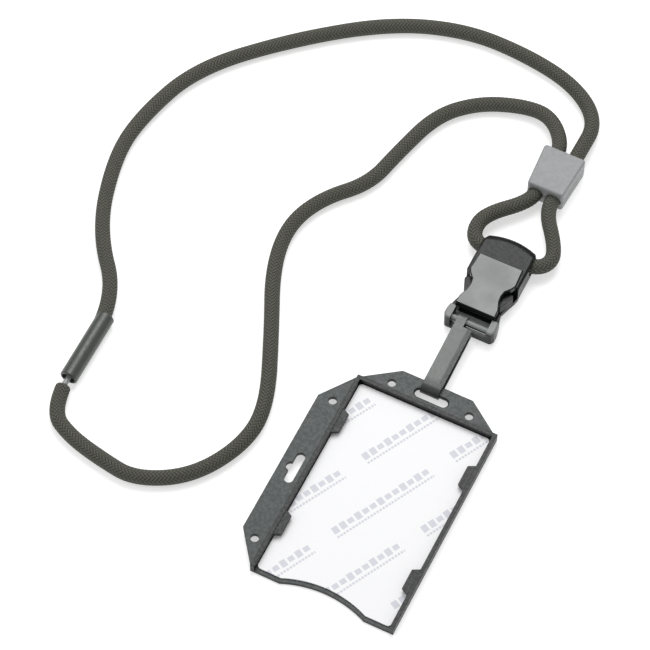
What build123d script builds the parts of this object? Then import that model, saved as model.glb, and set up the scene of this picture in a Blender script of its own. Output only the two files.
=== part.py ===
from build123d import *
import math
import os

# A rigid badge holder on a strap, a side-release buckle and a breakaway neck cord, lying on a flat surface.
# +Y runs from the holder towards the buckle, +X to the holder's right, +Z up. The origin is on the surface,
# at the middle of the box round the holder, strap and buckle. All lengths are in millimetres.

os.makedirs("parts", exist_ok=True)

# Card insert and the holder's pocket
card_width = 54.0
card_length = 85.6
card_thickness = 0.6
card_corner = 1.5
card_play = 0.05
pocket_gap = 0.3
wall = 1.6
floor_thickness = 1.4
rim_top = 4.4
pocket_x = 4.8
pocket_y = -38.5
bottom_margin = 1.6
notch_radius = 42.0
notch_depth = 3.6

# Flanges round the pocket, with their holes and slots
flange_low = 2.2
flange_high = 4.0
top_flange = 11.2
side_flange = 9.6
top_corner_half = 14.25
side_corner_high = 30.3
side_corner_low = -31.2
hole_radius = 1.65
top_hole_spacing = 32.0
top_hole_y = 47.2
side_hole_spacing = 64.0
side_hole_x = -32.5
side_hole_y = -1.5
slot_length = 13.5
slot_width = 3.6
top_slot_y = 48.05
side_slot_y = -1.1
side_slot_bump = 1.7

# Tabs over the card
tab_length = 11.5
tab_reach = 2.8
tab_low = 3.0
tab_high = 4.2
tab_offset = 23.7

# Strap loop
strap_width = 7.5
strap_thickness = 0.7
strap_x = 3.2
strap_play = 0.1
strap_shoulder_y = 40.4

# Buckle
buckle_x = 4.5
tunnel_y = 77.5
tunnel_z = 5.2
tunnel_play = 0.4
back_half = 10.4
back_side_y = 82.3
back_middle_y = 84.5
back_rounding = 4.2
block_half = 10.8
block_top = 9.6
face_end_y = 71.8
face_top = 10.4
face_low = 7.7
rear_top = 2.7
mouth_y = 48.0
ledge_y = 64.0
cavity_low = 2.8
cavity_high = 7.6
cheek_top = 6.8
crossbar_y = 43.6
crossbar_z = 6.2
crossbar_radius = 1.25
plug_low = 1.0
plug_high = 8.4
plug_window_half = 7.5
neck_half = 6.9
prong_play = 0.15
prong_root_x = 5.4
prong_root_y = 53.0
prong_root_radius = 1.3

# Cord slider
slider_x = 5.8
slider_y = 118.5
slider_length = 19.4
slider_top_half = 8.8
slider_bottom_half = 7.55
channel_half_spacing = 3.75

# Cord, its breakaway sleeve and the pin that pulls out of it
cord_radius = 3.0
cord_play = 0.1
lift = tunnel_z
sleeve_x = -121.0
sleeve_top = -13.5
sleeve_bottom = -43.4
sleeve_radius = 3.5
sleeve_cord_depth = 11.0
pin_head_radius = 2.6
pin_neck_radius = 1.1
pin_tail = 6.0
cord_tip_y = -46.4
slider_stretch = 5.0


def outline(points):
    """A flat face inside a closed run of straight lines."""
    return make_face(Polyline(*points, close=True).edges())


def slab(face, low, high):
    """The face drawn up from one height to another."""
    return extrude(Pos(0, 0, low) * face, high - low, dir=(0, 0, 1))


def mirrored(points):
    """The right half of an outline, from top to bottom, closed with its mirror image."""
    return points + [(-x, y) for x, y in reversed(points)]


def save(shape, node):
    shape.label = node
    export_step(shape, f"parts/{node}.step")


def disc(radius, x, y):
    return Pos(x, y) * Circle(radius)


# ---------------------------------------------------------------- holder and card

half_pocket = card_width / 2 + pocket_gap
half_body = half_pocket + wall
body_top = card_length / 2 + pocket_gap + wall
body_bottom = -card_length / 2 - bottom_margin
flange_top = card_length / 2 + top_flange
flange_left = -half_body - side_flange
top_slot_top = top_slot_y + slot_width / 2
bar_y = pocket_y + (top_slot_top + flange_top) / 2
bar_half = (flange_top - top_slot_top) / 2
bar_z = (flange_low + flange_high) / 2
bar_bevel = 0.4


def thumb_notch(edge_y):
    """The shallow arc taken out of an edge at this height."""
    return disc(notch_radius, 0, edge_y + notch_depth - notch_radius)


def pocket_body():
    """The tray: a floor with walls on the left, right and top, open at the bottom."""
    body = outline(
        [
            (-half_body, body_bottom),
            (half_body, body_bottom),
            (half_body, body_top),
            (-half_body, body_top),
        ]
    )
    pocket = Pos(0, (body_bottom + body_top - wall) / 2 - 5) * Rectangle(
        2 * half_pocket, body_top - wall - body_bottom + 10
    )
    tray = slab(body, 0, rim_top) - slab(pocket, floor_thickness, rim_top + 1)
    return tray


def flanges():
    """The top and left flanges, one plate with cut corners."""
    plate = outline(
        [
            (half_body, body_top - wall),
            (half_body, 43.4),
            (top_corner_half, flange_top),
            (-top_corner_half, flange_top),
            (-half_body, 43.6),
            (flange_left, side_corner_high),
            (flange_left, side_corner_low),
            (-half_body, body_bottom + 0.4),
            (-half_body + wall, body_bottom + 0.4),
            (-half_body + wall, body_top - wall),
        ]
    )
    return slab(plate, flange_low, flange_high)


def flange_openings():
    """Round holes at the corners and one long slot in each flange."""
    holes = [disc(hole_radius, sx * top_hole_spacing / 2, top_hole_y) for sx in (-1, 1)]
    holes += [
        disc(hole_radius, side_hole_x, side_hole_y + sy * side_hole_spacing / 2) for sy in (-1, 1)
    ]
    top_slot = Pos(0, top_slot_y) * SlotOverall(slot_length, slot_width)
    side_slot = Pos(side_hole_x, side_slot_y) * SlotOverall(slot_length, slot_width, rotation=90)
    bump = disc(slot_width / 2, side_hole_x - side_slot_bump, side_slot_y)
    cuts = holes + [top_slot, side_slot, bump]
    return [slab(cut, flange_low - 1, rim_top + 1) for cut in cuts]


def tab(side, y):
    """One tab: a thin ear with cut ends that reaches over the card from a side wall."""
    root = side * (half_pocket + 0.3)
    tip = side * (half_pocket - tab_reach)
    half = tab_length / 2
    ear = outline([(root, y - half), (root, y + half), (tip, y + half - 1.6), (tip, y - half + 1.6)])
    return slab(ear, tab_low, tab_high)


def tab_window(side, y):
    """The window in the floor under a tab, as wide as the tab reaches."""
    middle = side * (half_pocket - tab_reach / 2 - 0.1)
    window = Pos(middle, y) * RectangleRounded(tab_reach, tab_length, 0.6)
    return slab(window, -1, floor_thickness + 0.5)


def holder_frame():
    frame = pocket_body() + flanges()
    frame = frame - slab(thumb_notch(body_bottom), -1, rim_top + 1)
    for cut in flange_openings():
        frame = frame - cut
    strap_side = [e for e in frame.edges() if abs(e.length - slot_length + slot_width) < 0.01]
    strap_side = [e for e in strap_side if e.center().Y > top_slot_y]
    frame = chamfer(strap_side, bar_bevel)
    top_edges = [e for e in frame.edges() if abs(e.length - 2 * top_corner_half) < 0.01]
    frame = chamfer(top_edges, bar_bevel)
    for side in (-1, 1):
        for y in (tab_offset, -tab_offset):
            frame = frame + tab(side, y)
            frame = frame - tab_window(side, y)
    return Pos(pocket_x, pocket_y, 0) * frame


def card_insert():
    sheet = RectangleRounded(card_width, card_length, card_corner)
    sheet = sheet - thumb_notch(-card_length / 2)
    card_low = floor_thickness + card_play
    return Pos(pocket_x, pocket_y, 0) * slab(sheet, card_low, card_low + card_thickness)


save(holder_frame(), "holder_frame")
save(card_insert(), "card_insert")


# ---------------------------------------------------------------- strap

bar_reach = math.hypot(bar_half - bar_bevel / 2, (flange_high - flange_low) / 2)
strap_bar_radius = bar_reach + strap_play
strap_crossbar_radius = crossbar_radius + strap_play


def strap_profile(grow):
    """Two circles and the lines that touch both, in the plane of Y and Z."""
    ends = [
        Pos(bar_y, bar_z) * Circle(strap_bar_radius + grow),
        Pos(crossbar_y, crossbar_z) * Circle(strap_crossbar_radius + grow),
    ]
    edges = [edge for end in ends for edge in end.edges()]
    return make_hull(edges)


def strap():
    """A loop with its right side cut back above the shoulder, so that a narrower neck goes round the bar."""
    band = strap_profile(strap_thickness) - strap_profile(0)
    on_side = Plane(origin=(strap_x - strap_width / 2, 0, 0), x_dir=(0, 1, 0), z_dir=(1, 0, 0))
    loop = extrude(on_side * band, strap_width, dir=(1, 0, 0))
    cut_back = Pos(strap_x + 5, strap_shoulder_y + 5, 5) * Box(10, 10, 20)
    return loop - cut_back


save(strap(), "strap")


# ---------------------------------------------------------------- side-release buckle


def along_x(radius, length, x, y, z):
    """A round bar along X, centred on the point."""
    return Pos(x, y, z) * Rot(0, 90, 0) * Cylinder(radius, length)


def socket_block():
    """The wide end: an arched, rounded back over the cord's tunnel, and sides down to the latch ledges."""
    back = ThreePointArc((back_half, back_side_y), (0, back_middle_y), (-back_half, back_side_y))
    sides = Polyline(
        (-back_half, back_side_y),
        (-block_half, 76.0),
        (-block_half, ledge_y),
        (block_half, ledge_y),
        (block_half, 76.0),
        (back_half, back_side_y),
    )
    block = slab(make_face([back, *sides.edges()]), 0, block_top)
    back_edges = [e for e in block.edges().filter_by(GeomType.CIRCLE) if e.center().Y > tunnel_y]
    block = fillet(back_edges, back_rounding)
    side_edges = [e for e in block.edges() if abs(e.center().X) > 10.7 and e.center().Y < 76]
    side_edges = [e for e in side_edges if min(e.center().Z, block_top - e.center().Z) < 0.01]
    return chamfer(side_edges, 0.8)


def socket_face():
    """The raised front face: wide at the top, drawn in at the finger notches, flared at the mouth."""
    right = [
        (9.0, face_end_y),
        (9.5, ledge_y),
        (8.7, 62.3),
        (6.8, 60.0),
        (6.4, 57.6),
        (6.7, 55.0),
        (8.0, 51.6),
        (8.2, mouth_y),
    ]
    face = slab(outline(mirrored(right)), face_low, face_top)
    return chamfer(face.faces().sort_by(Axis.Z)[-1].edges(), 0.35)


def socket_rear():
    """The rear face: the buckle's whole outline, with a waist where the finger pads are."""
    right = [
        (block_half, ledge_y + 1.0),
        (block_half, ledge_y),
        (10.4, 62.2),
        (9.1, 58.4),
        (8.1, 55.2),
        (8.4, 53.0),
        (9.4, 50.4),
        (10.0, mouth_y),
    ]
    return slab(outline(mirrored(right)), 0.3, rear_top)


def socket_cheek(side):
    """A low wall beside the mouth that carries the rear face's flare up round the plug's neck."""
    wall = outline([(8.45, 52.7), (8.6, 52.7), (9.4, 50.4), (10.0, mouth_y), (8.45, mouth_y)])
    wall = slab(wall, rear_top - 0.5, cheek_top)
    return wall if side > 0 else mirror(wall, about=Plane.YZ)


def buckle_socket():
    """The female half: the tunnel for the cord, two faces, and a latch ledge on each side inside."""
    socket = socket_block() + socket_face() + socket_rear()
    throat = Pos(0, (mouth_y + 70.0) / 2 - 1) * Rectangle(16.9, 70.0 - mouth_y + 2)
    hook_room = Pos(0, (ledge_y + 1.6 + 70.0) / 2) * Rectangle(19.6, 70.0 - ledge_y - 1.6)
    socket = socket - slab(throat, cavity_low, cavity_high)
    socket = socket - slab(hook_room, cavity_low, cavity_high)
    socket = socket - along_x(cord_radius + tunnel_play, 3 * block_half, 0, tunnel_y, tunnel_z)
    for side in (-1, 1):
        socket = socket + socket_cheek(side)
    return Pos(buckle_x, 0, 0) * socket


def plug_rails():
    """The plug's outer outline below the mouth: it carries on the socket's flare and rounds in at the end."""
    right = [
        (10.1, mouth_y - 0.3),
        (10.5, 45.4),
        (10.5, 43.2),
        (9.6, 41.6),
    ]
    return outline(mirrored(right))


def prong_socket(side):
    """The slot in the plug's neck that the root of a prong turns in."""
    x, y = side * prong_root_x, prong_root_y
    pivot = disc(prong_root_radius + 0.08, x, y)
    mouth = outline([(x - 1.9, y), (x + 1.9, y), (x + 2.4, y + 1.2), (x - 2.4, y + 1.2)])
    return slab(pivot, 0, 12) + slab(mouth, 0, 12)


def buckle_plug():
    """The male half's base: side rails, a crossbar for the strap, a low end bar, a neck and a guide blade."""
    base = slab(plug_rails(), plug_low, plug_high)
    window = Pos(0, 47.4) * Rectangle(2 * plug_window_half, 6.4)
    over_end_bar = Pos(0, 42.65) * Rectangle(2 * plug_window_half, 3.3)
    base = base - slab(window, -1, 12) - slab(over_end_bar, 2.2, 12)
    outer = [e for e in base.edges().filter_by(Axis.Z) if abs(e.center().X) > 9.3 and e.center().Y < 46]
    base = fillet(outer, 1.2)
    tops = [e for e in base.faces().sort_by(Axis.Z)[-2:].edges() if abs(e.center().X) > 9.0]
    base = chamfer(tops, 0.5)
    base = base + along_x(crossbar_radius, 2 * plug_window_half + 1, 0, crossbar_y, crossbar_z)
    neck_low = cavity_low + prong_play
    neck_high = cavity_high - prong_play
    floor_plate = Pos(0, 47.3) * Rectangle(2 * plug_window_half + 1, 3.2)
    neck = Pos(0, 51.1) * Rectangle(2 * neck_half, 4.6)
    blade = Pos(0, 59.5) * Rectangle(3.6, 13.0)
    base = base + slab(floor_plate, neck_low, 4.6) + slab(neck, neck_low, neck_high) + slab(blade, 3.4, 7.0)
    for side in (-1, 1):
        base = base - prong_socket(side)
    return Pos(buckle_x, 0, 0) * base


def prong(side):
    """A springy arm: a round root in the base, a finger pad in the notch, and a hook behind the ledge."""
    x, y = prong_root_x, prong_root_y
    arm = outline(
        [
            (x - 0.9, y),
            (x - 0.9, 58.0),
            (6.0, ledge_y),
            (6.2, 68.6),
            (7.6, 69.6),
            (9.5, 67.6),
            (9.5, ledge_y + 1.9),
            (8.1, ledge_y + 1.7),
            (8.1, 62.3),
            (9.9, 61.4),
            (10.1, 60.4),
            (8.9, 57.4),
            (7.5, 54.6),
            (x + 0.9, 54.3),
            (x + 0.9, y),
        ]
    )
    arm = arm + disc(prong_root_radius, x, y)
    body = slab(arm, cavity_low + prong_play, cavity_high - prong_play)
    if side < 0:
        body = mirror(body, about=Plane.YZ)
    return Pos(buckle_x, 0, 0) * body


save(buckle_socket(), "buckle_socket")
save(buckle_plug(), "buckle_plug")
save(prong(-1), "buckle_left_prong")
save(prong(1), "buckle_right_prong")


# ---------------------------------------------------------------- cord slider


def slider_block():
    """A block that narrows towards the buckle, with two round channels right through it."""
    half = slider_length / 2
    right = [(slider_top_half, half), (slider_bottom_half, -half)]
    block = slab(outline(mirrored(right)), 0, 2 * lift)
    block = fillet([e for e in block.edges() if abs(e.center().Z - lift) < 0.01], 1.2)
    block = fillet(block.edges().filter_by(Plane.XY), 0.9)
    for side in (-1, 1):
        channel = Pos(side * channel_half_spacing, 0, lift) * Rot(90, 0, 0)
        block = block - channel * Cylinder(cord_radius + cord_play, slider_length + 2)
    return Pos(slider_x, slider_y, 0) * block


def slider_shell(low, high):
    """The part of the block between two heights."""
    keep = Pos(slider_x, slider_y, (low + high) / 2) * Box(40, 40, high - low)
    return slider_block() & keep


save(slider_shell(lift, 2 * lift + 1), "slider_front_shell")
save(slider_shell(-1, lift), "slider_rear_shell")


# ---------------------------------------------------------------- cord

left_channel = slider_x - channel_half_spacing
right_channel = slider_x + channel_half_spacing
upper_end = slider_y + slider_stretch
lower_end = slider_y - slider_stretch

# Each route is a hand-chosen list of corners; the cord runs straight between them and rounds each one.
outer_route = [
    (right_channel, upper_end, lift),
    (right_channel, 133.0, lift),
    (9.6, 150.5, 3.6),
    (-5.0, 162.7, 3.0),
    (-28.0, 167.7, 3.0),
    (-55.0, 168.0, 3.0),
    (-84.0, 157.5, 3.0),
    (-115.5, 133.0, 3.0),
    (-143.5, 103.5, 3.0),
    (-152.3, 73.0, 3.0),
    (-152.5, 51.5, 3.0),
    (-142.5, 19.8, 3.0),
    (sleeve_x, -5.0, sleeve_radius),
    (sleeve_x, sleeve_top - sleeve_cord_depth, sleeve_radius),
]

split_point = (-55.5, -5.5, 3.0)

inner_route = [
    split_point,
    (-62.0, 9.0, 3.0),
    (-74.5, 34.5, 3.0),
    (-77.8, 54.5, 3.0),
    (-71.5, 71.0, 3.0),
    (-58.0, 85.3, 3.0),
    (-54.4, 103.0, 3.0),
    (-48.5, 125.5, 3.0),
    (-36.0, 138.4, 3.0),
    (-19.5, 144.8, 3.4),
    (-7.5, 144.5, 4.4),
    (left_channel, 134.0, lift),
    (left_channel, upper_end, lift),
]

pin_route = [
    (sleeve_x, cord_tip_y, sleeve_radius),
    (-119.7, -58.5, 3.0),
    (-108.5, -64.6, 3.0),
    (-93.5, -67.9, 3.0),
    (-78.5, -69.8, 3.0),
    (-60.0, -59.0, 3.0),
    (-49.0, -38.5, 3.0),
    (-49.0, -20.0, 3.0),
    split_point,
]

buckle_loop_route = [
    (left_channel, lower_end, lift),
    (left_channel, 104.5, lift),
    (-11.4, 91.3, lift),
    (-12.2, 82.2, lift),
    (-7.8, 77.45, lift),
    (4.5, 77.6, lift),
    (16.5, 77.45, lift),
    (21.0, 83.1, lift),
    (18.2, 90.9, lift),
    (9.3, 102.8, lift),
    (right_channel, lower_end, lift),
]


def corner_radii(route):
    """Each corner's radius: 0.45 of its shorter run, divided by the tangent of half the turn."""
    points = [Vector(*point) for point in route]
    radii = []
    for before, corner, after in zip(points, points[1:], points[2:]):
        arriving = corner - before
        leaving = after - corner
        half_turn = math.radians(arriving.get_angle(leaving)) / 2
        shorter = min(arriving.length, leaving.length)
        radii.append(0.45 * shorter / math.tan(half_turn))
    return radii


def cord(route, name):
    """A round cord along the route. Prints its corner radii, its length and a check of its volume."""
    radii = corner_radii(route)
    path = FilletPolyline(*route, radius=radii)
    start = Plane(origin=path @ 0, z_dir=path % 0)
    tube = sweep(start * Circle(cord_radius), path=path)
    expected = math.pi * cord_radius**2 * path.length
    print(f"{name}: radii {[round(r, 1) for r in radii]}")
    print(f"{name}: length {path.length:.1f}, volume {tube.volume / expected:.4f} of section times length")
    return tube


def slider_stretches():
    """The two straight lengths of cord in the middle of the slider."""
    lengths = [
        Pos(x, slider_y, lift) * Rot(90, 0, 0) * Cylinder(cord_radius, 2 * slider_stretch)
        for x in (left_channel, right_channel)
    ]
    return Compound(children=lengths)


pin_hole_depth = pin_tail + 0.3
pin_hole = Pos(sleeve_x, cord_tip_y - pin_hole_depth / 2 + 0.5, sleeve_radius) * Rot(90, 0, 0)
pin_hole = pin_hole * Cylinder(pin_neck_radius + 0.05, pin_hole_depth + 1)

save(cord(outer_route, "cord_outer_run"), "cord_outer_run")
save(cord(inner_route, "cord_inner_run"), "cord_inner_run")
save(cord(pin_route, "cord_pin_run") - pin_hole, "cord_pin_run")
save(cord(buckle_loop_route, "cord_buckle_loop"), "cord_buckle_loop")
save(slider_stretches(), "cord_slider_stretch")


# ---------------------------------------------------------------- breakaway sleeve and pin


def turned(profile):
    """A solid turned round the sleeve's axis; the profile is (distance from the axis, Y) points."""
    face = outline(profile)
    solid = revolve(face, Axis.Y)
    return Pos(sleeve_x, 0, sleeve_radius) * solid


def breakaway_sleeve():
    """A tube glued on the cord at its top, with a narrower bore below that grips the pin's head."""
    cord_bore = cord_radius + 0.05
    pin_bore = pin_head_radius + 0.06
    seat = sleeve_top - sleeve_cord_depth
    profile = [
        (cord_bore, sleeve_top),
        (sleeve_radius - 0.3, sleeve_top),
        (sleeve_radius, sleeve_top - 0.3),
        (sleeve_radius, sleeve_bottom + 0.3),
        (sleeve_radius - 0.3, sleeve_bottom),
        (pin_bore, sleeve_bottom),
        (pin_bore, seat),
        (cord_bore, seat),
    ]
    return turned(profile)


def breakaway_pin():
    """A pin with a head inside the sleeve, a bare neck, and a tail in the end of the cord."""
    head_top = sleeve_bottom + 11.0
    head_bottom = sleeve_bottom + 2.0
    tail_end = cord_tip_y - pin_tail
    profile = [
        (0, head_top),
        (pin_head_radius - 0.8, head_top),
        (pin_head_radius, head_top - 1.2),
        (pin_head_radius, head_bottom),
        (pin_neck_radius, head_bottom - 0.8),
        (pin_neck_radius, tail_end),
        (0, tail_end),
    ]
    return turned(profile)


save(breakaway_sleeve(), "breakaway_sleeve")
save(breakaway_pin(), "breakaway_pin")
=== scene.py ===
import math

import bpy
import numpy as np
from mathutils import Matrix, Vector


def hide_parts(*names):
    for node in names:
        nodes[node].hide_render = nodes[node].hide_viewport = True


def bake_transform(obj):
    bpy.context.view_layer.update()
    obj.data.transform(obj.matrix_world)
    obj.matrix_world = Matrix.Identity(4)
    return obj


# A rigid badge holder on a vinyl strap, a side-release buckle, a cord slider and a breakaway neck cord.
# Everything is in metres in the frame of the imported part: +Y from the holder to the buckle, +Z up.

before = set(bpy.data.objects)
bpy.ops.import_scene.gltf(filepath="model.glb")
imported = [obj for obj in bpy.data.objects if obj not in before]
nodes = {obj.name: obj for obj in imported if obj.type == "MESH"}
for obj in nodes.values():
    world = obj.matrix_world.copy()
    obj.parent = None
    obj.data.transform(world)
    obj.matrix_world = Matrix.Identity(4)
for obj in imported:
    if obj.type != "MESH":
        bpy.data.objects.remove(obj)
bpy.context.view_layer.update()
scene = bpy.context.scene
mm = 0.001


# ---------------------------------------------------------------- camera, floor and light

view_azimuth = math.radians(26.47)
view_elevation = math.radians(59.71)
camera_distance = 1.2509
camera_target = Vector((-0.0459, 0.0221, 0.0))
camera_lens = 182.17
floor_half = 0.9


def towards(azimuth, elevation):
    """The direction from the object to something at that azimuth and elevation."""
    flat = math.cos(elevation)
    return Vector((math.sin(azimuth) * flat, -math.cos(azimuth) * flat, math.sin(elevation)))


def add_camera():
    back = towards(view_azimuth, view_elevation)
    data = bpy.data.cameras.new("camera")
    data.sensor_width = 36.0
    data.lens = camera_lens
    camera = bpy.data.objects.new("camera", data)
    camera.location = camera_target + back * camera_distance
    camera.rotation_mode = "QUATERNION"
    camera.rotation_quaternion = (-back).to_track_quat("-Z", "Y")
    scene.collection.objects.link(camera)
    scene.camera = camera


def add_panel_light(name, azimuth, elevation, distance, size, power):
    """A square soft light that faces the middle of the object."""
    back = towards(math.radians(azimuth), math.radians(elevation))
    data = bpy.data.lights.new(name, "AREA")
    data.shape = "SQUARE"
    data.size = size
    data.energy = power
    lamp = bpy.data.objects.new(name, data)
    lamp.location = camera_target + back * distance
    lamp.rotation_mode = "QUATERNION"
    lamp.rotation_quaternion = (-back).to_track_quat("-Z", "Y")
    scene.collection.objects.link(lamp)


def add_world(strength):
    world = bpy.data.worlds.new("studio")
    world.use_nodes = True
    background = world.node_tree.nodes["Background"]
    background.inputs["Color"].default_value = (1.0, 1.0, 1.0, 1.0)
    background.inputs["Strength"].default_value = strength
    scene.world = world


def mesh_object(name, points, faces, smooth=True):
    """A new object from points in metres and faces of point numbers."""
    mesh = bpy.data.meshes.new(name)
    mesh.from_pydata([tuple(p) for p in points], [], [tuple(f) for f in faces])
    mesh.validate()
    mesh.polygons.foreach_set("use_smooth", [smooth] * len(mesh.polygons))
    made = bpy.data.objects.new(name, mesh)
    scene.collection.objects.link(made)
    return made


add_camera()
add_world(0.44)
add_panel_light("key_light", 200.0, 58.0, 1.3, 0.9, 12.0)
add_panel_light("fill_light", -60.0, 50.0, 1.6, 1.0, 3.5)
scene.view_settings.view_transform = "Standard"


# ---------------------------------------------------------------- cords

cord_radius = 3.0 * mm
strands_each_way = 12
samples_per_cell = 5
cell_length = 1.45 * mm
braid_relief = 0.11 * mm
ring_step = cell_length / samples_per_cell
segments = strands_each_way * samples_per_cell

# The cord's routes, as the points that the CAD tubes follow, in millimetres.
lift = 5.2
slider_middle = 118.5
left_channel = 2.05
right_channel = 9.55
sleeve_x = -121.0
sleeve_z = 3.5

outer_route = [
    (right_channel, slider_middle, lift),
    (right_channel, 123.5, lift),
    (right_channel, 133.0, lift),
    (9.6, 150.5, 3.6),
    (-5.0, 162.7, 3.0),
    (-28.0, 167.7, 3.0),
    (-55.0, 168.0, 3.0),
    (-84.0, 157.5, 3.0),
    (-115.5, 133.0, 3.0),
    (-143.5, 103.5, 3.0),
    (-152.3, 73.0, 3.0),
    (-152.5, 51.5, 3.0),
    (-142.5, 19.8, 3.0),
    (sleeve_x, -5.0, sleeve_z),
    (sleeve_x, -24.5, sleeve_z),
]

split_point = (-55.5, -5.5, 3.0)

inner_route = [
    split_point,
    (-62.0, 9.0, 3.0),
    (-74.5, 34.5, 3.0),
    (-77.8, 54.5, 3.0),
    (-71.5, 71.0, 3.0),
    (-58.0, 85.3, 3.0),
    (-54.4, 103.0, 3.0),
    (-48.5, 125.5, 3.0),
    (-36.0, 138.4, 3.0),
    (-19.5, 144.8, 3.4),
    (-7.5, 144.5, 4.4),
    (left_channel, 134.0, lift),
    (left_channel, 123.5, lift),
    (left_channel, slider_middle, lift),
]

pin_route = [
    (sleeve_x, -46.4, sleeve_z),
    (-119.7, -58.5, 3.0),
    (-108.5, -64.6, 3.0),
    (-93.5, -67.9, 3.0),
    (-78.5, -69.8, 3.0),
    (-60.0, -59.0, 3.0),
    (-49.0, -38.5, 3.0),
    (-49.0, -20.0, 3.0),
    split_point,
]

buckle_loop_route = [
    (left_channel, slider_middle, lift),
    (left_channel, 113.5, lift),
    (left_channel, 104.5, lift),
    (-11.4, 91.3, lift),
    (-12.2, 82.2, lift),
    (-7.8, 77.45, lift),
    (4.5, 77.6, lift),
    (16.5, 77.45, lift),
    (21.0, 83.1, lift),
    (18.2, 90.9, lift),
    (9.3, 102.8, lift),
    (right_channel, 113.5, lift),
    (right_channel, slider_middle, lift),
]


def centreline(name, route):
    """The points of the smooth line that has the route's points as its control points."""
    curve = bpy.data.curves.new(name, "CURVE")
    curve.dimensions = "3D"
    spline = curve.splines.new("NURBS")
    spline.points.add(len(route) - 1)
    for point, corner in zip(spline.points, route):
        point.co = (corner[0] * mm, corner[1] * mm, corner[2] * mm, 1.0)
    spline.order_u = 3
    spline.use_endpoint_u = True
    spline.resolution_u = 40
    bare = bpy.data.objects.new(name, curve)
    mesh = bpy.data.meshes.new_from_object(bare)
    line = np.array([v.co for v in mesh.vertices], float)
    bpy.data.meshes.remove(mesh)
    bpy.data.objects.remove(bare)
    bpy.data.curves.remove(curve)
    return line


def evenly(line, step):
    """The line's points again, about one step apart, with the distance of each along the line."""
    hops = np.linalg.norm(np.diff(line, axis=0), axis=1)
    along = np.concatenate([[0.0], np.cumsum(hops)])
    count = max(2, round(along[-1] / step))
    at = (np.arange(count + 1)) * along[-1] / count
    points = np.stack([np.interp(at, along, line[:, k]) for k in range(3)], axis=1)
    return points, at


def braid_height(around, cells):
    """The height of a two-over-two braid, 0 in the gaps and 1 on the crowns. around is in turns."""
    a = strands_each_way * around + cells
    b = strands_each_way * around - cells
    part_a, part_b = a % 1.0, b % 1.0
    phase = (np.floor(a) + np.floor(b)) % 4
    rising = phase < 2
    across = np.where(rising, part_a, part_b)
    forward = np.where(rising, (phase + part_b) / 2, (phase - 2 + part_a) / 2)
    crown = np.sin(np.pi * across) ** 0.7
    arch = 0.45 + 0.55 * np.sin(np.pi * np.clip(forward, 0, 1))
    return crown * arch


def braided_tube(name, line, start_cell, blunt_start=False):
    """A closed tube with the relief of a braid round the line, and a UV map: turns round, cells along."""
    points, along = evenly(line, ring_step)
    tangents = np.gradient(points, axis=0)
    tangents /= np.linalg.norm(tangents, axis=1)[:, None]
    sides = np.cross(tangents, (0.0, 0.0, 1.0))
    sides /= np.linalg.norm(sides, axis=1)[:, None]
    ups = np.cross(sides, tangents)
    around = (np.arange(segments) + 0.5) / segments
    cells = start_cell + along / cell_length
    relief = braid_height(around[None, :], cells[:, None] + 0.5 / samples_per_cell)
    swell = 0.012 * np.sin(along / (17 * mm)) + 0.008 * np.sin(along / (5.3 * mm) + 1.0)
    radius = cord_radius * (1 + swell)[:, None] - braid_relief * (1 - relief) - 0.02 * mm
    if blunt_start:
        depth = np.clip(along / (1.6 * mm), 0, 1)
        radius = radius * np.sqrt(np.clip(1 - (1 - depth) ** 2, 0.03, 1))[:, None]
    turn = 2 * np.pi * around
    ring = sides[:, None, :] * np.cos(turn)[None, :, None] + ups[:, None, :] * np.sin(turn)[None, :, None]
    skin = points[:, None, :] + ring * radius[:, :, None]
    rings = len(points)
    verts = skin.reshape(-1, 3)
    row = np.arange(rings - 1)[:, None] * segments
    left = np.arange(segments)[None, :]
    right = (left + 1) % segments
    quads = np.stack([row + left, row + right, row + segments + right, row + segments + left], axis=-1)
    quads = quads.reshape(-1, 4)[:, ::-1]
    caps = [list(range(segments)), list(range((rings - 1) * segments, rings * segments))[::-1]]
    mesh = bpy.data.meshes.new(name)
    mesh.from_pydata(verts.tolist(), [], quads.tolist() + caps)
    u_left = np.arange(segments)[None, :] + 0.5
    u = np.stack([u_left, u_left + 1, u_left + 1, u_left], axis=-1) / segments
    u = np.broadcast_to(u, (rings - 1, segments, 4))
    v = np.stack([cells[:-1], cells[:-1], cells[1:], cells[1:]], axis=-1)[:, None, :]
    v = np.broadcast_to(v, (rings - 1, segments, 4))
    uv = np.stack([u, v], axis=-1).reshape(-1, 4, 2)[:, ::-1].reshape(-1, 2)
    uv = np.concatenate([uv, np.zeros((2 * segments, 2))])
    layer = mesh.uv_layers.new(name="weave")
    layer.data.foreach_set("uv", uv.ravel())
    mesh.polygons.foreach_set("use_smooth", [True] * len(mesh.polygons))
    mesh.update()
    made = bpy.data.objects.new(name, mesh)
    scene.collection.objects.link(made)
    return made


def length_of(line):
    return float(np.linalg.norm(np.diff(line, axis=0), axis=1).sum())


def add_cord(name, route, start_cell=0.0, blunt_start=False):
    line = centreline(name, route)
    tube = braided_tube(name, line, start_cell, blunt_start)
    return tube, line


outer_cord, outer_line = add_cord("outer_cord", outer_route)
pin_cord, pin_line = add_cord("pin_cord", pin_route, blunt_start=True)
inner_start_cell = length_of(pin_line) / cell_length
inner_cord, inner_line = add_cord("inner_cord", inner_route, start_cell=inner_start_cell)
loop_cord, loop_line = add_cord("buckle_loop_cord", buckle_loop_route)

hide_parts("cord_outer_run", "cord_slider_stretch")
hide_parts("cord_inner_run")
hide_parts("cord_pin_run")
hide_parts("cord_buckle_loop")
all_cords = [outer_cord, inner_cord, pin_cord, loop_cord]

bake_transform(outer_cord)
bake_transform(inner_cord)
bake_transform(loop_cord)
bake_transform(pin_cord)


# ---------------------------------------------------------------- floor

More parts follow.
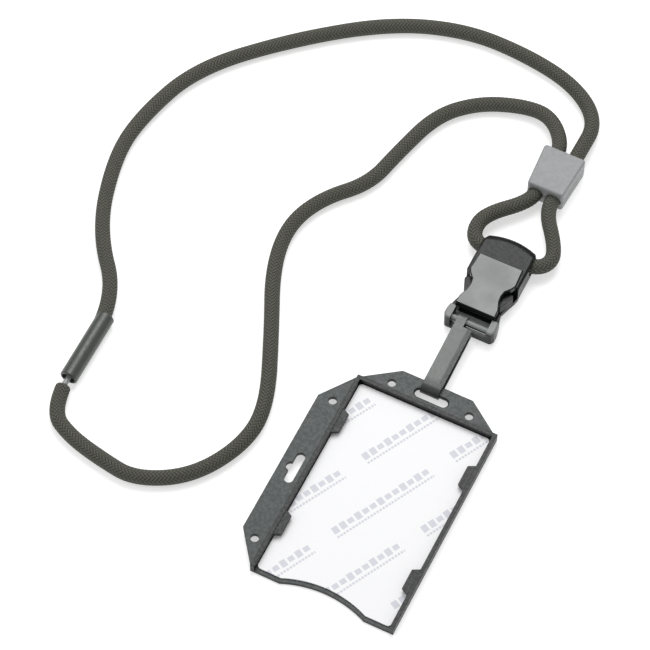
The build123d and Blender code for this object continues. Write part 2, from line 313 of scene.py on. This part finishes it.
floor = mesh_object(
    "floor",
    [
        (-floor_half, -floor_half, 0),
        (floor_half, -floor_half, 0),
        (floor_half, floor_half, 0),
        (-floor_half, floor_half, 0),
    ],
    [(0, 1, 2, 3)],
)
floor.location.z = -0.02 * mm


# ---------------------------------------------------------------- materials

# Shades are display values of 0 to 255. The card's print is in millimetres.

# Floor and cord
floor_glow = 0.5
cord_yarn_light = (99, 99, 91)
cord_yarn_dark = (82, 82, 75)
# The colour of the hollows between strands is painted shade.
cord_gap_painted_shade = (50, 50, 45)

# Holder and card
holder_shade = (54, 61, 60)
# Painted shade for the holder's side walls, also used as a darker colour on rim and tab tops.
holder_painted_wall_shade_and_dark_tops = (16, 18, 18)
print_shade = (216, 216, 224)
print_slant = math.radians(62.0)
print_row = 18.5
print_row_start = -4.7
print_repeat = 54.0
print_length = 44.0
print_shift = 27.0
print_start = -2.7
print_block = 3.4

# Strap
strap_shade = (104, 108, 105)
# Painted shade on the strap, and where it falls: its sides, the lower layer, the bend round the bar and the
# right border.
strap_painted_shade = (46, 49, 48)
strap_rise = 0.103
strap_middle_height = 1.7 * mm
strap_border_from = 4.7 * mm
strap_border_to = 5.6 * mm

# Buckle
buckle_shade = (14, 16, 16)
mouth_y = 47.9 * mm
# Painted light: the plug's upward faces are coloured paler, as if lit.
plug_top_painted_light = (132, 136, 134)
# The front face's pale colours are a painted reflection.
buckle_face_painted_reflection_dark = (134, 137, 135)
buckle_face_painted_reflection_light = (158, 160, 159)

# Slider
slider_shade = (149, 150, 151)
slider_seam = 0.16 * mm
# Painted shade for the seam between the slider's two shells.
slider_seam_painted_shade = (56, 58, 57)


class Shading:
    """A material's node tree, with short calls that add a node and join it up."""

    def __init__(self, name):
        self.material = bpy.data.materials.new(name)
        self.material.use_nodes = True
        self.tree = self.material.node_tree
        self.shader = self.tree.nodes["Principled BSDF"]

    def add(self, kind, **inputs):
        node = self.tree.nodes.new(kind)
        for name, value in inputs.items():
            self.put(node.inputs[name.replace("_", " ")], value)
        return node

    def put(self, socket, value):
        """Sets a socket to a number or a colour, or links another node's output to it."""
        if isinstance(value, bpy.types.NodeSocket):
            self.tree.links.new(value, socket)
        elif isinstance(value, tuple) and len(value) == 3 and socket.type == "RGBA":
            socket.default_value = (*value, 1.0)
        else:
            socket.default_value = value

    def set(self, **inputs):
        for name, value in inputs.items():
            self.put(self.shader.inputs[name.replace("_", " ")], value)

    def math(self, operation, first, second=0.0, third=0.0):
        node = self.tree.nodes.new("ShaderNodeMath")
        node.operation = operation
        for socket, value in zip(node.inputs, (first, second, third)):
            self.put(socket, value)
        return node.outputs[0]

    def spread(self, value, low, high, to_low=0.0, to_high=1.0):
        """The value moved smoothly from one range to another, and held at both ends."""
        node = self.tree.nodes.new("ShaderNodeMapRange")
        node.interpolation_type = "SMOOTHSTEP"
        ends = {"From Min": low, "From Max": high, "To Min": to_low, "To Max": to_high}
        for name, number in ends.items():
            node.inputs[name].default_value = number
        self.put(node.inputs["Value"], value)
        return node.outputs["Result"]

    def blend(self, amount, first, second):
        """A mix of two colours."""
        node = self.tree.nodes.new("ShaderNodeMix")
        node.data_type = "RGBA"
        self.put(node.inputs["Factor"], amount)
        self.put(node.inputs[6], first)
        self.put(node.inputs[7], second)
        return node.outputs[2]

    def place(self):
        """Object space coordinates in metres."""
        return self.tree.nodes.new("ShaderNodeTexCoord").outputs["Object"]

    def facing(self):
        """The object space normal."""
        return self.tree.nodes.new("ShaderNodeTexCoord").outputs["Normal"]

    def parts(self, vector):
        node = self.add("ShaderNodeSeparateXYZ", Vector=vector)
        return node.outputs

    def noise(self, vector, scale, detail=3.0):
        node = self.add("ShaderNodeTexNoise", Vector=vector, Scale=scale, Detail=detail)
        return node.outputs["Fac"]

    def soft_edges(self, radius):
        node = self.add("ShaderNodeBevel", Radius=radius)
        node.samples = 6
        return node.outputs["Normal"]

    def bump(self, height, distance, strength=1.0, normal=None):
        node = self.add("ShaderNodeBump", Height=height, Distance=distance, Strength=strength)
        if normal is not None:
            self.put(node.inputs["Normal"], normal)
        return node.outputs["Normal"]


def shade(display):
    """A linear colour from a display colour of 0 to 255."""
    return tuple(((c / 255 + 0.055) / 1.055) ** 2.4 for c in display)


def give(thing, material):
    thing.data.materials.clear()
    thing.data.materials.append(material)


def moulded_plastic(name, display, roughness, grain, grain_size, edge, specular=0.4):
    """Injection moulded plastic: a fine grained skin, faint handling marks and slightly soft edges."""
    look = Shading(name)
    place = look.place()
    skin = look.noise(place, 1.0 / grain_size)
    cloud = look.noise(place, 70.0)
    marks = look.noise(place, 900.0, 1.0)
    colour = shade(display)
    darker = tuple(c * 0.86 for c in colour)
    look.set(Base_Color=look.blend(cloud, darker, colour))
    rough = look.spread(marks, 0.3, 0.7, roughness - 0.05, roughness + 0.07)
    look.set(Roughness=rough, Specular_IOR_Level=specular)
    look.set(Normal=look.bump(skin, grain, normal=look.soft_edges(edge)))
    return look


def floor_look():
    """A pale back-lit sheet: it glows a little, so that holes in the part show bright."""
    look = Shading("floor_sheet")
    cloud = look.noise(look.place(), 3.0)
    glow = look.spread(cloud, 0.2, 0.8, floor_glow - 0.008, floor_glow + 0.008)
    look.set(Base_Color=(0.8, 0.8, 0.8), Roughness=1.0, Specular_IOR_Level=0.0)
    look.set(Emission_Color=(1.0, 1.0, 1.0), Emission_Strength=glow)
    return look.material


def cord_look():
    """A two-over-two braid of dull yarn: strands of varied tone, gaps painted darker as painted shade, and
    the lines of the filaments.
    """
    look = Shading("cord_braid")
    uv = look.tree.nodes.new("ShaderNodeUVMap")
    uv.uv_map = "weave"
    turns, cells, _ = look.parts(uv.outputs["UV"])
    strands = look.math("MULTIPLY", turns, float(strands_each_way))
    a = look.math("ADD", strands, cells)
    b = look.math("SUBTRACT", strands, cells)
    part_a = look.math("FRACT", a)
    part_b = look.math("FRACT", b)
    step = look.math("ADD", look.math("FLOOR", a), look.math("FLOOR", b))
    phase = look.math("FLOORED_MODULO", step, 4.0)
    rising = look.math("LESS_THAN", phase, 1.5)
    falling = look.math("SUBTRACT", 1.0, rising)
    across = look.math("ADD", look.math("MULTIPLY", part_a, rising), look.math("MULTIPLY", part_b, falling))
    crown = look.math("SINE", look.math("MULTIPLY", across, math.pi))
    strand = look.spread(crown, 0.15, 0.85)
    filament = look.math("SINE", look.math("MULTIPLY", across, 6 * math.pi))
    height = look.math("ADD", strand, look.math("MULTIPLY", filament, 0.12))
    yarn_at = look.add("ShaderNodeCombineXYZ", X=strands, Y=cells).outputs[0]
    yarn = look.noise(yarn_at, 0.9)
    lit = look.blend(yarn, shade(cord_yarn_dark), shade(cord_yarn_light))
    # The hollows between strands get a darker colour as painted shade.
    look.set(Base_Color=look.blend(strand, shade(cord_gap_painted_shade), lit))
    look.set(Roughness=0.82, Specular_IOR_Level=0.2)
    look.set(Sheen_Weight=0.02, Sheen_Roughness=0.5)
    look.set(Normal=look.bump(height, 0.07 * mm, 0.9))
    return look.material


def holder_look():
    """Dark slate plastic with a satin skin. Faces that don't face up are painted darker as painted shade, and
    the rim and tab tops above 4.1 mm are painted darker too.
    """
    look = moulded_plastic("holder_plastic", holder_shade, 0.42, 0.012 * mm, 0.35 * mm, 0.25 * mm)
    up = look.parts(look.facing())[2]
    height = look.parts(look.place())[2]
    flange = look.math("LESS_THAN", height, 4.1 * mm)
    flat = look.math("MULTIPLY", look.spread(up, 0.6, 0.95), flange)
    base = look.shader.inputs["Base Color"].links[0].from_socket
    # Side walls get painted shade; rim and tab tops above 4.1 mm are painted darker.
    look.set(Base_Color=look.blend(flat, shade(holder_painted_wall_shade_and_dark_tops), base))
    return look.material


def card_look():
    """A white printed insert: a repeating slanted row of pale blocks, with a finer row under each."""
    look = Shading("insert_card")
    x, y, _ = look.parts(look.place())
    cosine, sine = math.cos(print_slant), math.sin(print_slant)
    along = look.math("ADD", look.math("MULTIPLY", x, cosine / mm), look.math("MULTIPLY", y, sine / mm))
    across = look.math("SUBTRACT", look.math("MULTIPLY", y, cosine / mm), look.math("MULTIPLY", x, sine / mm))
    row = look.math("DIVIDE", look.math("ADD", across, print_row_start), print_row)
    number = look.math("FLOOR", row)
    within = look.math("MULTIPLY", look.math("FRACT", row), print_row)
    shifted = look.math("ADD", along, look.math("MULTIPLY_ADD", number, print_shift, print_start))
    at = look.math("MULTIPLY", look.math("FRACT", look.math("DIVIDE", shifted, print_repeat)), print_repeat)
    inside = look.math("LESS_THAN", at, print_length)
    large_block = look.math("LESS_THAN", look.math("FRACT", look.math("DIVIDE", at, print_block)), 0.72)
    small_block = look.math("LESS_THAN", look.math("FRACT", look.math("DIVIDE", at, print_block * 0.4)), 0.7)
    block_number = look.math("FLOOR", look.math("DIVIDE", at, print_block))
    tall = look.math("LESS_THAN", look.math("FRACT", look.math("MULTIPLY", block_number, 0.37)), 0.4)
    half_height = look.math("MULTIPLY_ADD", tall, 0.45, 1.05)
    large_row = look.math("COMPARE", within, 9.2, half_height)
    small_row = look.math("COMPARE", within, 6.3, 0.45)
    large = look.math("MULTIPLY", large_block, large_row)
    small = look.math("MULTIPLY", small_block, small_row)
    ink = look.math("MULTIPLY", look.math("MAXIMUM", large, small), inside)
    fibre = look.noise(look.place(), 2600.0)
    paper = look.blend(fibre, shade((244, 244, 246)), shade((252, 252, 253)))
    look.set(Base_Color=look.blend(ink, paper, shade(print_shade)))
    look.set(Roughness=0.6, Specular_IOR_Level=0.25)
    look.set(Normal=look.bump(fibre, 0.004 * mm))
    return look.material


def strap_look():
    """Smoky vinyl, pressed with a fine texture. Its sides, lower layer, bend round the bar and right border
    are painted darker as painted shade.
    """
    look = moulded_plastic("strap_vinyl", strap_shade, 0.38, 0.02 * mm, 0.5 * mm, 0.12 * mm, 0.5)
    side = look.math("ABSOLUTE", look.parts(look.facing())[0])
    edge = look.spread(side, 0.5, 0.9)
    x, y, z = look.parts(look.place())
    middle = look.math("MULTIPLY_ADD", y, strap_rise, strap_middle_height)
    lower = look.math("LESS_THAN", z, middle)
    border = look.spread(x, strap_border_from, strap_border_to, 0.0, 0.95)
    round_bar = look.spread(y, 13.0 * mm, 17.5 * mm, 0.9, 0.0)
    # All four masks paint shade: sides, lower layer, right border and the bend round the bar.
    dark = look.math("MAXIMUM", look.math("MAXIMUM", edge, lower), look.math("MAXIMUM", border, round_bar))
    base = look.shader.inputs["Base Color"].links[0].from_socket
    look.set(Base_Color=look.blend(dark, base, shade(strap_painted_shade)))
    return look.material


def buckle_look():
    """Dark glossy acetal. The raised front face is rougher and painted pale grey in patches as a painted
    reflection; the plug's upward faces are painted paler as painted light.
    """
    look = moulded_plastic("buckle_plastic", buckle_shade, 0.3, 0.01 * mm, 0.3 * mm, 0.3 * mm, 0.24)
    _, y, height = look.parts(look.place())
    up = look.parts(look.facing())[2]
    # The plug's upward faces are painted paler as painted light.
    plug_painted_light_mask = look.math("MULTIPLY", look.math("LESS_THAN", y, mouth_y), look.spread(up, 0.2, 0.8))
    # This mask both roughens the raised front face and paints a reflection on it.
    frosted_and_painted_reflection = look.math("MULTIPLY", look.spread(height, 10.2 * mm, 10.35 * mm), look.spread(up, 0.7, 0.95))
    base = look.shader.inputs["Base Color"].links[0].from_socket
    painted_reflection_patches = look.spread(look.noise(look.place(), 60.0, 2.0), 0.3, 0.7)
    face = look.blend(painted_reflection_patches, shade(buckle_face_painted_reflection_dark), shade(buckle_face_painted_reflection_light))
    look.set(Base_Color=look.blend(frosted_and_painted_reflection, look.blend(plug_painted_light_mask, base, shade(plug_top_painted_light)), face))
    rough = look.shader.inputs["Roughness"].links[0].from_socket
    look.set(Roughness=look.math("ADD", rough, look.math("MULTIPLY", frosted_and_painted_reflection, 0.18)))
    return look.material


def slider_look():
    """Pale grey plastic, with a dark line painted as shade in the seam where its two shells meet."""
    look = moulded_plastic("slider_plastic", slider_shade, 0.45, 0.015 * mm, 0.4 * mm, 0.35 * mm)
    height = look.parts(look.place())[2]
    # A thin line at the shells' seam is painted dark as shade.
    seam = look.math("COMPARE", height, lift * mm, slider_seam)
    base = look.shader.inputs["Base Color"].links[0].from_socket
    look.set(Base_Color=look.blend(seam, base, shade(slider_seam_painted_shade)))
    return look.material


looks = {
    "floor": floor_look(),
    "cord": cord_look(),
    "holder": holder_look(),
    "card": card_look(),
    "strap": strap_look(),
    "buckle": buckle_look(),
    "slider": slider_look(),
    "sleeve": moulded_plastic(
        "sleeve_plastic", (66, 70, 66), 0.36, 0.004 * mm, 0.8 * mm, 0.2 * mm, 0.6
    ).material,
    "pin": moulded_plastic(
        "pin_plastic", (150, 154, 152), 0.2, 0.004 * mm, 0.6 * mm, 0.2 * mm, 0.6
    ).material,
}
give(floor, looks["floor"])
for piece in all_cords:
    give(piece, looks["cord"])
for node, thing in nodes.items():
    for word in ("holder", "card", "strap", "buckle", "slider", "sleeve", "pin"):
        if word in node:
            give(thing, looks[word])
            break
